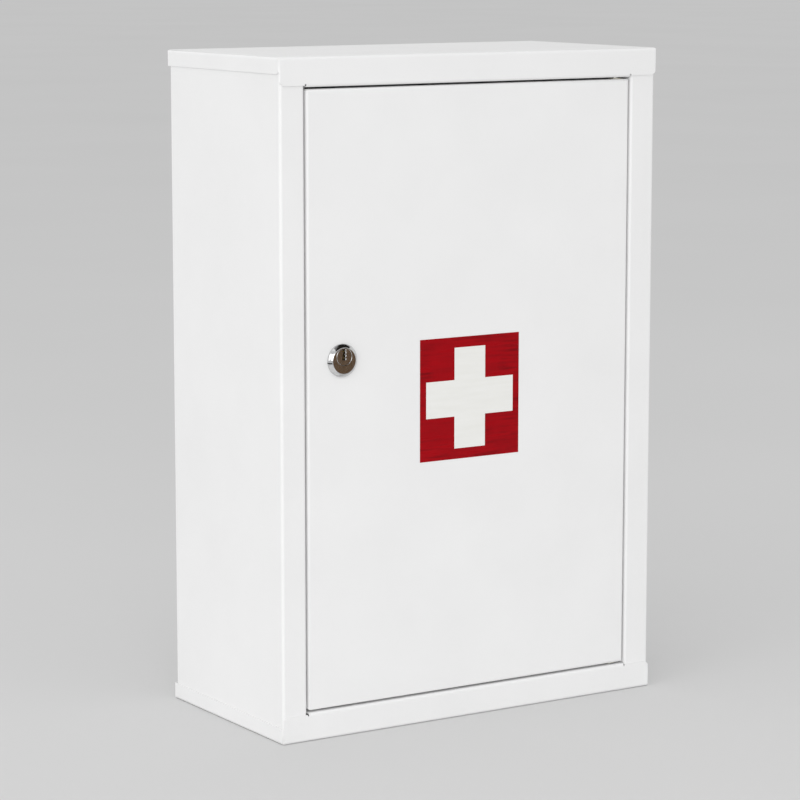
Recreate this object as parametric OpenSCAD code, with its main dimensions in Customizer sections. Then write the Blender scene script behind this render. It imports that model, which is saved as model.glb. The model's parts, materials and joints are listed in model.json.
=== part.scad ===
// Lockable wall cabinet for medicines, folded from steel sheet.
// Units are millimetres. X runs to the right, Y to the back and Z up.
// The origin is the middle of the underside, so the door faces -Y.

/* [Cabinet] */
// Overall width, across the cap and the tray
cabinet_w = 300; // [240:1:400]
// Overall depth, across the cap and the tray
cabinet_d = 150; // [110:1:220]
// Overall height, from the underside of the tray to the top of the cap
cabinet_h = 450; // [370:1:620]
// Thickness of the steel sheet
sheet = 0.8; // [0.6:0.05:1]
// Inside radius of every bend
bend_r = 1.2; // [0.9:0.05:1.5]
// Play between two sheets that lap and are spot-welded
lap_clearance = 0.1; // [0.05:0.01:0.15]
// Width of the flanges at the back of the side panels
rear_flange_w = 15; // [10:0.5:20]

/* [Cap and tray] */
// Height of the cap's front flange at its folded edge
cap_front_h = 19.6; // [16:0.1:26]
// Height of the tray's front flange at its folded edge
tray_front_h = 19.1; // [16:0.1:26]
// Height of the flanges at the sides and at the back
side_flange_h = 11; // [7:0.5:13]
// How much shorter the front flange is beside the door
edge_step = 1; // [0.6:0.1:1.4]
// Radius of the front flange's free corners
flange_corner_r = 5; // [2:0.5:6]
// Radius at the front end of the side flanges
flange_end_r = 3; // [1:0.5:5]
// Radius of the pan's upright corners
pan_corner_r = 1.4; // [1.1:0.1:2]
// Depth of the lip folded back from the front flange
lip_d = 14; // [13:0.5:18]
// Width of the relief notch at each end of the lip
relief_w = 1.2; // [0.6:0.1:2]

/* [Door] */
// Width of the front jamb on the lock side
lock_jamb_w = 19.3; // [17:0.1:26]
// Width of the front jamb on the hinge side
hinge_jamb_w = 21.1; // [17:0.1:26]
// Gap at the two upright edges of the door
side_gap = 1.5; // [1.2:0.1:2.5]
// Gap above the door
top_gap = 1.4; // [1.2:0.1:2.5]
// Gap below the door
bottom_gap = 1.3; // [1.2:0.1:2.5]
// Depth of the door, from its face to the back of its flanges
door_d = 12; // [10:0.5:16]
// Width of the flanges turned in behind the door
door_return_w = 9; // [6:0.5:14]
// Radius of the door's corners, seen from the front
door_corner_r = 2; // [1:0.1:3]
// Width of the flange that the door closes on
stop_flange_w = 9; // [8:0.5:12]
// Distance from the back of the closed door to that flange
stop_gap = 3; // [2:0.1:4]

/* [Hinge] */
// Distance from the door's edge to the pivot
pivot_inset = 8; // [7:0.1:12]
// Distance from the door's face to the pivot
pivot_depth = 5.5; // [5:0.1:7]
// Radius of the hinge pins
pin_r = 2; // [1.5:0.1:2.2]
// Radius of the head of a hinge pin
pin_head_r = 4; // [3:0.1:4.5]
// Thickness of the head of a hinge pin
pin_head_h = 1.2; // [0.8:0.1:2]
// How far a hinge pin reaches past the door's flange
pin_reach = 8; // [5:0.5:12]
// Wall of the bush around a hinge pin
bush_wall = 1; // [0.8:0.1:1.4]
// Length of the bush's sleeve inside the door
bush_l = 4; // [2:0.5:6]
// Radius of the bush's collar
bush_collar_r = 4; // [3.6:0.1:4.5]
// Thickness of the bush's collar
bush_collar_h = 0.5; // [0.3:0.1:0.6]
// Thickness of the washer under the door
thrust_washer_h = 0.4; // [0.2:0.1:0.5]
// Radial running clearance of a shaft in its bore
running_clearance = 0.05; // [0.02:0.01:0.1]

/* [Lock] */
// Distance from the door's edge to the middle of the lock
lock_inset = 25.9; // [24:0.1:45]
// Height of the middle of the lock
lock_z = 252.2; // [120:0.1:330]
// Radius of the bezel where it lies on the door
bezel_r = 11; // [10:0.1:14]
// Radius of the lock's flat face
lock_face_r = 8.6; // [8.2:0.1:9]
// How far the lock stands out of the door
bezel_h = 3.3; // [2:0.1:5]
// Radius of the lock's barrel
barrel_r = 9; // [8.7:0.1:9.5]
// Distance across the two flats of the barrel
barrel_flats = 16.4; // [16:0.1:17]
// Length of the barrel behind the door's face
barrel_l = 16; // [14:0.5:17]
// Radius of the turning plug
plug_r = 5.7; // [5:0.1:5.8]
// How far the plug sits above the middle of the lock
plug_rise = 2.6; // [2:0.1:2.7]
// Width of the keyway
keyway_w = 1.8; // [1.2:0.1:2.2]
// How far the keyway reaches above the middle of the plug
keyway_up = 4.9; // [4:0.1:4.9]
// How far the keyway reaches below the middle of the plug
keyway_down = 2; // [1:0.1:3]
// Width across the square end of the plug
tail_w = 6.4; // [5:0.1:7]
// Thickness of the cam
cam_t = 2; // [1.5:0.1:3]
// Reach of the cam, from the middle of the plug to its tip
cam_reach = 31; // [26:0.5:36]
// Width of the cam's arm
cam_w = 13; // [11:0.5:16]
// Gap between the closed cam and the flange it holds
cam_gap = 0.8; // [0.4:0.1:1.5]
// Distance across the flats of the lock's nut
nut_flats = 22; // [20:0.5:24]
// Thickness of the lock's nut
nut_h = 3; // [2:0.5:5]
// Number of wafers in the plug
wafer_count = 5; // [3:1:5]
// Thickness of one wafer
wafer_t = 1; // [0.8:0.1:1.2]
// Distance from one wafer to the next
wafer_pitch = 2; // [1.8:0.1:2.2]

/* [Shelves] */
// Height of the lower shelf's top
lower_shelf_z = 150; // [90:1:180]
// Height of the upper shelf's top
upper_shelf_z = 300; // [230:1:330]
// Distance from the door's face to the shelves
shelf_setback = 28; // [25:1:50]
// Height of the shelves' folded edges
shelf_edge_h = 12; // [8:0.5:20]
// Play between a shelf and what stands beside it
shelf_clearance = 0.5; // [0.3:0.1:1]
// Width of both legs of a shelf rail
rail_w = 12; // [11:0.5:18]
// Distance from each end of a rail to its screw
rail_screw_inset = 18; // [10:1:30]

/* [Fasteners] */
// Radius of a shelf screw's thread
screw_r = 1.9; // [1.4:0.1:2.2]
// Radius of a shelf screw's head
screw_head_r = 3.5; // [2.8:0.1:4]
// Height of a shelf screw's head
screw_head_h = 2; // [1.5:0.1:2.5]
// Length of a shelf screw under its head
screw_l = 6; // [5:0.5:8]
// Radius of a door buffer
buffer_r = 3.5; // [2.5:0.1:3.8]
// Radius of the stem of a door buffer
buffer_stem_r = 1.5; // [1:0.1:1.8]
// Distance from the door's ends to the buffers
buffer_inset = 60; // [30:1:90]
// Play of pieces that touch without moving
seat_clearance = 0.05; // [0.02:0.01:0.08]
// Gap between a moving piece and the piece it stops against
rest_gap = 0.3; // [0.25:0.05:0.5]

/* [Wall holes] */
// Radius of the four holes in the back
wall_hole_r = 3.25; // [2:0.25:5]
// Distance from the cabinet's sides to the holes
wall_hole_inset_x = 40; // [30:1:60]
// Distance from the cabinet's top and bottom to the holes
wall_hole_inset_z = 55; // [30:1:80]

/* [Sign] */
// Width of the sign
sign_w = 79.5; // [60:0.5:100]
// Height of the sign
sign_h = 82.5; // [60:0.5:100]
// Distance of the sign's middle from the middle of the cabinet
sign_x = -2.8; // [-20:0.1:20]
// Height of the sign's middle
sign_z = 219.8; // [120:0.1:300]
// Thickness of the sign's film
sign_t = 0.12; // [0.08:0.01:0.3]
// Width across the cross
cross_w = 69.8; // [50:0.1:74]
// Height of the cross
cross_h = 68.3; // [50:0.1:76]
// Width of the cross's arms
cross_arm = 24.7; // [15:0.1:30]

/* [Hidden] */
$fn = 64;
overrun = 1;
outer_r = bend_r + sheet;
mid_r = bend_r + sheet / 2;

// The welded body stands inside the flanges of the cap and the tray.
lap = sheet + lap_clearance;
wall_x = cabinet_w / 2 - lap;
face_y = -cabinet_d / 2 + lap;
back_y = cabinet_d / 2 - lap;
panel_z = outer_r;
panel_h = cabinet_h - 2 * outer_r;
rear_flange_y = back_y - sheet - lap_clearance;
inner_wall_x = wall_x - sheet;

// The door opening, between the jambs and the two folded lips.
lock_jamb_x = -cabinet_w / 2 + lock_jamb_w;
hinge_jamb_x = cabinet_w / 2 - hinge_jamb_w;
door_left = lock_jamb_x + side_gap;
door_right = hinge_jamb_x - side_gap;
door_bottom = tray_front_h + bottom_gap;
door_top = cabinet_h - cap_front_h - top_gap;
door_w = door_right - door_left;
door_h = door_top - door_bottom;
door_back_y = face_y + door_d;
stop_y = door_back_y + stop_gap;

// The hinge axis.
pivot_x = door_right - pivot_inset;
pivot_y = face_y + pivot_depth;
pin_hole_r = pin_r + seat_clearance;
bush_r = pin_r + running_clearance + bush_wall;
bush_hole_r = bush_r + seat_clearance;
cap_lip_z = cabinet_h - cap_front_h + sheet;
tray_lip_z = tray_front_h - sheet;

// The lock, whose plug turns about an axis along Y.
lock_x = door_left + lock_inset;
plug_z = lock_z + plug_rise;
bezel_y = face_y - bezel_h;
barrel_end_y = face_y + barrel_l;
barrel_hole_r = barrel_r + seat_clearance;
bezel_foot_h = 0.5;
bezel_round = 0.7;
face_round = 0.35;
lock_washer_h = 1;
cam_y = stop_y + sheet + cam_gap;
cam_tip_r = 3;
shoulder_y = cam_y - seat_clearance;
tail_end_y = cam_y + cam_t - rest_gap;
keyway_wall = 4;
keyway_end_y = barrel_end_y - keyway_wall;
plug_recess = 0.1;
wafer_w = 4.4;
wafer_h = 10.2;
wafer_play = 0.1;
wafer_setback = 4.5;
wafer_first_y = bezel_y + wafer_setback;
wafer_window_h = 5.4;
spring_r = 0.45;
cam_washer_h = 0.8;
cam_washer_r = 5.5;
cam_screw_r = 1.5;
cam_screw_head_r = 3.5;
cam_screw_head_h = 2.2;
cam_screw_l = 5;
notch_w = 0.8;
notch_drop = 1.2;

// The buffers' barbs, behind the stop flange.
barb_rise = 0.4;
barb_h = 0.6;

// The shelves.
shelf_front_y = face_y + shelf_setback;
shelf_back_y = rear_flange_y - sheet - shelf_clearance;
shelf_half_w = inner_wall_x - shelf_clearance;
rail_front_y = shelf_front_y + outer_r + shelf_clearance;
rail_back_y = shelf_back_y - outer_r - shelf_clearance;
rail_l = rail_back_y - rail_front_y;
rail_hole_x = inner_wall_x - rail_w / 2 - outer_r / 2;
screw_hole_play = 0.3;
screw_hole_r = screw_r + screw_hole_play;

steel_white = [0.93, 0.93, 0.92];
chrome_grey = [0.75, 0.76, 0.78];
zinc_grey = [0.62, 0.64, 0.66];
nylon_white = [0.88, 0.87, 0.82];
rubber_black = [0.08, 0.08, 0.08];
brass_yellow = [0.78, 0.65, 0.35];
sign_red = [0.62, 0.06, 0.09];

// ---------- Shared shapes ----------

// The waste outside a rounded corner, with the corner at the origin and the shape in +X +Y.
module corner_waste(r) {
    difference() {
        translate([-overrun, -overrun]) square(r + overrun);
        translate([r, r]) circle(r);
    }
}

// A rectangle on the X axis whose two lower corners are rounded.
module round_bottomed(w, h, r) {
    difference() {
        translate([-w / 2, 0]) square([w, h]);
        for (side = [0, 1]) {
            mirror([side, 0]) translate([-w / 2, 0]) corner_waste(r);
        }
    }
}

// A centred rectangle with four rounded corners.
module round_rectangle(w, h, r) {
    difference() {
        square([w, h], center = true);
        for (left = [0, 1], low = [0, 1]) {
            mirror([left, 0]) mirror([0, low]) translate([-w / 2, -h / 2]) corner_waste(r);
        }
    }
}

// One sheet bent at right angles along the middle line of its section.
module bent_sheet(path) {
    last = len(path) - 1;
    for (i = [0 : last - 1]) {
        run = path[i + 1] - path[i];
        head = i == 0 ? 0 : mid_r;
        tail = i == last - 1 ? 0 : mid_r;
        translate(path[i])
            rotate(atan2(run.y, run.x))
            translate([head, -sheet / 2])
            square([norm(run) - head - tail, sheet]);
    }
    for (i = [1 : last - 1]) {
        before = (path[i] - path[i - 1]) / norm(path[i] - path[i - 1]);
        after = (path[i + 1] - path[i]) / norm(path[i + 1] - path[i]);
        middle = path[i] + mid_r * (after - before);
        quarter = outer_r * (before - after);
        intersection() {
            translate(middle) difference() {
                circle(outer_r);
                circle(bend_r);
            }
            translate(middle + [min(0, quarter.x), min(0, quarter.y)]) square(outer_r);
        }
    }
}

// A section drawn in Y and Z, extruded along X from one place to another.
module along_x(from, to) {
    translate([from, 0, 0]) rotate([90, 0, 90]) linear_extrude(to - from) children();
}

// A section drawn in X and Z, extruded along Y from one place to another.
module along_y(from, to) {
    translate([0, to, 0]) rotate([90, 0, 0]) linear_extrude(to - from) children();
}

// A round bar along Y, from one place to another.
module bar_y(r, from, to) {
    along_y(from, to) circle(r);
}

// A block whose four lower edges and four upright corners are rounded.
module pan_block(w, d, h, edge_r, corner_r) {
    intersection() {
        linear_extrude(h) round_rectangle(w, d, corner_r);
        along_x(-w / 2, w / 2) round_bottomed(d, h, edge_r);
        along_y(-d / 2, d / 2) round_bottomed(w, h, edge_r);
    }
}

// The shallow pan that closes the cabinet at one end, standing on Z = 0.
module end_pan(front_h) {
    w = cabinet_w;
    d = cabinet_d;
    plate_h = front_h - edge_step;
    fold_z = front_h - outer_r;
    difference() {
        intersection() {
            difference() {
                pan_block(w, d, front_h, outer_r, pan_corner_r);
                translate([0, 0, sheet])
                    pan_block(w - 2 * sheet, d - 2 * sheet, front_h, bend_r, pan_corner_r - sheet);
            }
            union() {
                // The low flanges at the sides and at the back.
                along_x(-w / 2 - overrun, w / 2 + overrun) difference() {
                    translate([-d / 2 + sheet, 0]) square([d, side_flange_h]);
                    translate([-d / 2 + sheet, side_flange_h]) mirror([0, 1]) corner_waste(flange_end_r);
                }
                // The tall flange at the front.
                along_y(-d / 2 - overrun, -d / 2 + sheet)
                    translate([0, plate_h]) mirror([0, 1]) round_bottomed(w, plate_h, flange_corner_r);
            }
        }
        // Room for the lip, with a relief notch at each of its ends.
        translate([lock_jamb_x, -d / 2 - overrun, fold_z])
            cube([hinge_jamb_x - lock_jamb_x, outer_r + 2 * overrun, front_h]);
    }
    // The lip, folded back under the flange's edge.
    difference() {
        along_x(lock_jamb_x + relief_w, hinge_jamb_x - relief_w)
            bent_sheet([
                [-d / 2 + sheet / 2, fold_z - overrun],
                [-d / 2 + sheet / 2, front_h - sheet / 2],
                [-d / 2 + lip_d, front_h - sheet / 2],
            ]);
        translate([pivot_x, pivot_y, 0]) cylinder(r = pin_hole_r, h = front_h + overrun);
    }
}

// Half of a side panel's section: the wall, the flange at the back and the jamb with its lip.
module side_section(jamb_w, tail) {
    wall = wall_x - sheet / 2;
    jamb = cabinet_w / 2 - jamb_w + sheet / 2;
    bent_sheet(concat(
        [
            [-wall_x + rear_flange_w, rear_flange_y - sheet / 2],
            [-wall, rear_flange_y - sheet / 2],
            [-wall, face_y + sheet / 2],
            [-jamb, face_y + sheet / 2],
        ],
        tail
    ));
}

// One shelf: a sheet with its front and back edges folded down.
module shelf(top_z) {
    low_z = top_z - shelf_edge_h;
    difference() {
        along_x(-shelf_half_w, shelf_half_w)
            bent_sheet([
                [shelf_front_y + sheet / 2, low_z],
                [shelf_front_y + sheet / 2, top_z - sheet / 2],
                [shelf_back_y - sheet / 2, top_z - sheet / 2],
                [shelf_back_y - sheet / 2, low_z],
            ]);
        at_shelf_screws(top_z - sheet - overrun)
            cylinder(r = screw_hole_r, h = sheet + 2 * overrun);
    }
}

// One rail: an angle on the side wall, with its upper leg under the shelf. Side is -1 or 1.
module rail(side, shelf_z) {
    top = shelf_z - sheet - seat_clearance;
    wall = inner_wall_x - seat_clearance;
    difference() {
        along_y(rail_front_y, rail_back_y)
            bent_sheet([
                [side * (wall - sheet / 2), top - rail_w],
                [side * (wall - sheet / 2), top - sheet / 2],
                [side * (wall - rail_w), top - sheet / 2],
            ]);
        at_shelf_screws(top - sheet - overrun)
            cylinder(r = screw_r + seat_clearance, h = sheet + 2 * overrun);
    }
}

// Puts its children at the four screws of one shelf.
module at_shelf_screws(z) {
    for (side = [-1, 1], y = [rail_front_y + rail_screw_inset, rail_back_y - rail_screw_inset]) {
        translate([side * rail_hole_x, y, z]) children();
    }
}

// A shelf screw with its head down on Z = 0.
module shelf_screw() {
    cylinder(r = screw_head_r, h = screw_head_h);
    translate([0, 0, -screw_l]) cylinder(r = screw_r, h = screw_l);
}

// A flanged bush with its collar on Z = 0 and its sleeve below.
module hinge_bush() {
    difference() {
        union() {
            cylinder(r = bush_collar_r, h = bush_collar_h);
            translate([0, 0, -bush_l]) cylinder(r = bush_r, h = bush_l);
        }
        translate([0, 0, -bush_l - overrun])
            cylinder(r = pin_r + running_clearance, h = bush_l + bush_collar_h + 2 * overrun);
    }
}

// A headed pin with its head on Z = 0 and its shank below.
module hinge_pin(shank_l) {
    cylinder(r = pin_head_r, h = pin_head_h);
    translate([0, 0, -shank_l]) cylinder(r = pin_r, h = shank_l);
}

// The outline of the lock's barrel: a circle with a flat on the left and on the right.
module barrel_outline(r, flats) {
    intersection() {
        circle(r);
        square([flats, 2 * r + overrun], center = true);
    }
}

// ---------- The cabinet ----------

module top_cap() {
    color(steel_white) translate([0, 0, cabinet_h]) mirror([0, 0, 1]) end_pan(cap_front_h);
}

module bottom_tray() {
    color(steel_white) end_pan(tray_front_h);
}

module left_side_panel() {
    jamb = cabinet_w / 2 - lock_jamb_w + sheet / 2;
    color(steel_white) difference() {
        translate([0, 0, panel_z]) linear_extrude(panel_h)
            side_section(lock_jamb_w, [
                [-jamb, stop_y + sheet / 2],
                [lock_jamb_x + stop_flange_w, stop_y + sheet / 2],
            ]);
        at_buffers() bar_y(buffer_stem_r + seat_clearance, stop_y - overrun, stop_y + sheet + overrun);
    }
}

module right_side_panel() {
    jamb = cabinet_w / 2 - hinge_jamb_w + sheet / 2;
    color(steel_white) translate([0, 0, panel_z]) mirror([1, 0, 0]) linear_extrude(panel_h)
        side_section(hinge_jamb_w, [[-jamb, face_y + lip_d]]);
}

module back_panel() {
    half_w = wall_x - outer_r;
    color(steel_white) difference() {
        translate([-half_w, back_y - sheet, panel_z]) cube([2 * half_w, sheet, panel_h]);
        for (side = [-1, 1], z = [wall_hole_inset_z, cabinet_h - wall_hole_inset_z]) {
            translate([side * (cabinet_w / 2 - wall_hole_inset_x), 0, z])
                bar_y(wall_hole_r, back_y - sheet - overrun, back_y + overrun);
        }
    }
}

module upper_shelf() {
    color(steel_white) shelf(upper_shelf_z);
}

module lower_shelf() {
    color(steel_white) shelf(lower_shelf_z);
}

module upper_left_rail() {
    color(steel_white) rail(-1, upper_shelf_z);
}

module upper_right_rail() {
    color(steel_white) rail(1, upper_shelf_z);
}

module lower_left_rail() {
    color(steel_white) rail(-1, lower_shelf_z);
}

module lower_right_rail() {
    color(steel_white) rail(1, lower_shelf_z);
}

module shelf_screws() {
    color(zinc_grey) for (shelf_z = [lower_shelf_z, upper_shelf_z]) {
        at_shelf_screws(shelf_z + seat_clearance) shelf_screw();
    }
}

module top_hinge_pin() {
    shank_l = cap_lip_z + seat_clearance - door_top + pin_reach;
    color(zinc_grey) translate([pivot_x, pivot_y, cap_lip_z + seat_clearance]) hinge_pin(shank_l);
}

module bottom_hinge_pin() {
    shank_l = door_bottom - tray_lip_z + seat_clearance + pin_reach;
    color(zinc_grey) translate([pivot_x, pivot_y, tray_lip_z - seat_clearance])
        mirror([0, 0, 1]) hinge_pin(shank_l);
}

module thrust_washer() {
    color(zinc_grey) translate([pivot_x, pivot_y, tray_front_h + seat_clearance]) difference() {
        cylinder(r = bush_collar_r, h = thrust_washer_h);
        translate([0, 0, -overrun]) cylinder(r = pin_hole_r, h = thrust_washer_h + 2 * overrun);
    }
}

// Puts its children at the two buffers, which stand on the stop flange.
module at_buffers() {
    x = lock_jamb_x + stop_flange_w / 2;
    for (z = [door_bottom + buffer_inset, door_top - buffer_inset]) {
        translate([x, 0, z]) children();
    }
}

module door_buffers() {
    pad_back = stop_y - seat_clearance;
    barb_y = stop_y + sheet + seat_clearance;
    color(rubber_black) at_buffers() {
        bar_y(buffer_r, door_back_y + rest_gap, pad_back);
        bar_y(buffer_stem_r, pad_back, barb_y);
        bar_y(buffer_stem_r + barb_rise, barb_y, barb_y + barb_h);
    }
}

// ---------- The door ----------

// The door's pan, lying on its face at Z = 0 and centred, before it is stood up.
module door_pan() {
    turn_z = door_d - outer_r;
    half = door_w / 2;
    flat_h = door_h - 2 * outer_r;
    difference() {
        pan_block(door_w, door_h, door_d, outer_r, door_corner_r);
        translate([0, 0, sheet])
            pan_block(door_w - 2 * sheet, door_h - 2 * sheet, door_d, bend_r, door_corner_r - sheet);
        for (side = [0, 1]) {
            mirror([side, 0, 0])
                translate([-half - overrun, -flat_h / 2, turn_z])
                cube([outer_r + overrun, flat_h, outer_r + overrun]);
        }
    }
    // The flanges turned in behind the two upright edges.
    for (side = [0, 1]) {
        mirror([side, 0, 0])
            along_y(-flat_h / 2, flat_h / 2)
            bent_sheet([
                [-half + sheet / 2, turn_z - overrun],
                [-half + sheet / 2, door_d - sheet / 2],
                [-half + door_return_w, door_d - sheet / 2],
            ]);
    }
}

module door_panel() {
    mid_x = (door_left + door_right) / 2;
    mid_z = (door_bottom + door_top) / 2;
    color(steel_white) difference() {
        // Stood up, the pan's face looks to -Y and its hollow to +Y.
        translate([mid_x, face_y, mid_z]) mirror([0, 0, 1]) rotate([-90, 0, 0]) door_pan();
        translate([pivot_x, pivot_y, door_bottom - overrun])
            cylinder(r = bush_hole_r, h = door_h + 2 * overrun);
        translate([lock_x, 0, lock_z])
            along_y(face_y - overrun, face_y + sheet + overrun)
            barrel_outline(barrel_hole_r, barrel_flats + 2 * seat_clearance);
    }
}

module first_aid_sign() {
    color(sign_red) translate([sign_x, 0, sign_z])
        along_y(face_y - sign_t, face_y) difference() {
            square([sign_w, sign_h], center = true);
            square([cross_w, cross_arm], center = true);
            square([cross_arm, cross_h], center = true);
        }
}

module top_hinge_bush() {
    color(nylon_white) translate([pivot_x, pivot_y, door_top + seat_clearance]) hinge_bush();
}

module bottom_hinge_bush() {
    color(nylon_white) translate([pivot_x, pivot_y, door_bottom - seat_clearance])
        mirror([0, 0, 1]) hinge_bush();
}

module lock_body() {
    color(chrome_grey) translate([lock_x, 0, lock_z]) difference() {
        union() {
            // The bezel: a low cylinder on the door, a cone and the flat face.
            translate([0, face_y, 0]) rotate([90, 0, 0]) rotate_extrude()
                polygon([
                    [0, 0],
                    [bezel_r, 0],
                    [bezel_r, bezel_foot_h],
                    [bezel_r - bezel_round / 2, bezel_foot_h + bezel_round],
                    [lock_face_r + face_round, bezel_h - face_round],
                    [lock_face_r, bezel_h],
                    [0, bezel_h],
                ]);
            along_y(face_y, barrel_end_y) barrel_outline(barrel_r, barrel_flats);
        }
        translate([0, 0, plug_rise])
            bar_y(plug_r + running_clearance, bezel_y - overrun, barrel_end_y + overrun);
        // The locating notch across the bezel's cone.
        translate([-bezel_r - overrun, bezel_y - overrun, -notch_drop - notch_w / 2])
            cube([bezel_r - lock_face_r + overrun, bezel_h - bezel_foot_h + overrun, notch_w]);
    }
}

module lock_washer() {
    y = face_y + sheet + seat_clearance;
    color(zinc_grey) translate([lock_x, 0, lock_z]) along_y(y, y + lock_washer_h) difference() {
        circle(bezel_r);
        barrel_outline(barrel_hole_r, barrel_flats + 2 * seat_clearance);
    }
}

module lock_nut() {
    y = face_y + sheet + lock_washer_h + 2 * seat_clearance;
    color(zinc_grey) translate([lock_x, 0, lock_z]) along_y(y, y + nut_h) difference() {
        rotate(30) circle(r = nut_flats / sqrt(3), $fn = 6);
        circle(barrel_hole_r);
    }
}

// Puts its children at the wafers, one behind the other along the plug.
module at_wafers() {
    for (i = [0 : wafer_count - 1]) {
        translate([lock_x, wafer_first_y + i * wafer_pitch, plug_z]) children();
    }
}

module lock_plug() {
    slot_w = wafer_w + 2 * wafer_play;
    slot_t = wafer_t + 2 * wafer_play;
    color(chrome_grey) difference() {
        translate([lock_x, 0, plug_z]) {
            bar_y(plug_r, bezel_y + plug_recess, shoulder_y);
            along_y(shoulder_y, tail_end_y) square(tail_w, center = true);
        }
        // The keyway, open at the front.
        translate([lock_x - keyway_w / 2, bezel_y - overrun, plug_z - keyway_down])
            cube([keyway_w, keyway_end_y - bezel_y + overrun, keyway_down + keyway_up]);
        at_wafers() translate([-slot_w / 2, -wafer_play, -plug_r - overrun])
            cube([slot_w, slot_t, 2 * (plug_r + overrun)]);
        translate([lock_x, 0, plug_z])
            bar_y(cam_screw_r + seat_clearance, tail_end_y - cam_screw_l, tail_end_y + overrun);
    }
}

module lock_wafers() {
    pocket_w = 2 * spring_r + wafer_play;
    color(brass_yellow) at_wafers() difference() {
        translate([-wafer_w / 2, 0, -wafer_h / 2]) cube([wafer_w, wafer_t, wafer_h]);
        translate([-keyway_w / 2, -overrun, -wafer_window_h / 2])
            cube([keyway_w, wafer_t + 2 * overrun, wafer_window_h]);
        // The pocket of the wafer's spring.
        translate([wafer_w / 2 - pocket_w, -overrun, -wafer_h / 2 - overrun])
            cube([pocket_w + overrun, wafer_t + 2 * overrun, wafer_h / 2 + overrun]);
    }
}

module wafer_springs() {
    spring_l = wafer_h / 2 - 2 * wafer_play;
    color(zinc_grey) at_wafers()
        translate([wafer_w / 2 - spring_r, wafer_t / 2, -wafer_h / 2 + wafer_play])
        cylinder(r = spring_r, h = spring_l);
}

module lock_cam() {
    color(zinc_grey) translate([lock_x, 0, plug_z]) along_y(cam_y, cam_y + cam_t) difference() {
        union() {
            circle(cam_w / 2);
            translate([-cam_w / 2, -cam_reach]) difference() {
                square([cam_w, cam_reach]);
                corner_waste(cam_tip_r);
                translate([cam_w, 0]) mirror([1, 0]) corner_waste(cam_tip_r);
            }
        }
        square(tail_w + 2 * seat_clearance, center = true);
    }
}

module cam_washer() {
    y = cam_y + cam_t + seat_clearance;
    color(zinc_grey) translate([lock_x, 0, plug_z]) along_y(y, y + cam_washer_h) difference() {
        circle(cam_washer_r);
        circle(cam_screw_r + seat_clearance);
    }
}

module cam_screw() {
    head_y = cam_y + cam_t + cam_washer_h + 2 * seat_clearance;
    color(zinc_grey) translate([lock_x, 0, plug_z]) {
        bar_y(cam_screw_head_r, head_y, head_y + cam_screw_head_h);
        bar_y(cam_screw_r, head_y - cam_screw_l, head_y);
    }
}

top_cap();
bottom_tray();
left_side_panel();
right_side_panel();
back_panel();
upper_shelf();
lower_shelf();
upper_left_rail();
upper_right_rail();
lower_left_rail();
lower_right_rail();
shelf_screws();
top_hinge_pin();
bottom_hinge_pin();
door_buffers();
thrust_washer();
door_panel();
first_aid_sign();
top_hinge_bush();
bottom_hinge_bush();
lock_body();
lock_washer();
lock_nut();
lock_plug();
lock_wafers();
wafer_springs();
lock_cam();
cam_washer();
cam_screw();
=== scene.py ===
import json
import math

import bmesh
import bpy
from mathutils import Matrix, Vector


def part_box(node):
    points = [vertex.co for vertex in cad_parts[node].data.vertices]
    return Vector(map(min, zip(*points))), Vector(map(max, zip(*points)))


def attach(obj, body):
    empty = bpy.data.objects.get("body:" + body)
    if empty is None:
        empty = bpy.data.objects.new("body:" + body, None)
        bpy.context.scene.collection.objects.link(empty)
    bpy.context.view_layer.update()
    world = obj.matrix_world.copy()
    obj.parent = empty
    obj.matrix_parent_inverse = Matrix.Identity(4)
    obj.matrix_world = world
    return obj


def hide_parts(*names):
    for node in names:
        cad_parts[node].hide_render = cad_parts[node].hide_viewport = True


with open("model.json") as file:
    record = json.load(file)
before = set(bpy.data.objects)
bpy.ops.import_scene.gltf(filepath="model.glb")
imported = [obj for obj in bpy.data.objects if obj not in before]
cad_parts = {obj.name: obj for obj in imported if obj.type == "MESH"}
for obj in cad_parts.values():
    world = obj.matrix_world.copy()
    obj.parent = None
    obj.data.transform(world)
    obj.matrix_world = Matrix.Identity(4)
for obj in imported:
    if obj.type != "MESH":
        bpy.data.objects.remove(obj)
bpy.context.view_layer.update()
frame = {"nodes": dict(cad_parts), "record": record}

MM = 0.001
TURN = 2 * math.pi
# Two points this near to each other are one, and a point this near to a plane lies on it.
SAME_POINT = 0.001 * MM
ON_PLANE = 0.01 * MM


def middle(node):
    """The middle of a node's box."""
    low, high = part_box(node)
    return (low + high) / 2


# ---------- Hands: selecting and shaping ----------

def only(piece):
    """Leaves one object selected and active."""
    bpy.ops.object.select_all(action="DESELECT")
    piece.select_set(True)
    bpy.context.view_layer.objects.active = piece


def edit(piece, kind="FACE"):
    """Opens one object in edit mode with nothing selected."""
    only(piece)
    bpy.ops.object.mode_set(mode="EDIT")
    bpy.ops.mesh.select_mode(type=kind)
    bpy.ops.mesh.select_all(action="DESELECT")


def close():
    """Leaves edit mode."""
    bpy.ops.object.mode_set(mode="OBJECT")


def faced_out():
    """Turns the open mesh's faces outward and leaves edit mode."""
    bpy.ops.mesh.select_all(action="SELECT")
    bpy.ops.mesh.normals_make_consistent(inside=False)
    close()


def pick(piece, parts, test):
    """Selects the faces or edges of the open mesh that pass a test."""
    mesh = bmesh.from_edit_mesh(piece.data)
    for part in getattr(mesh, parts):
        if test(part):
            part.select_set(True)
    bmesh.update_edit_mesh(piece.data)


def fresh(name):
    """Names the primitive that was just added and puts its place into its mesh."""
    piece = bpy.context.object
    piece.name = name
    bpy.ops.object.transform_apply(location=True, rotation=True, scale=True)
    return piece


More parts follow.
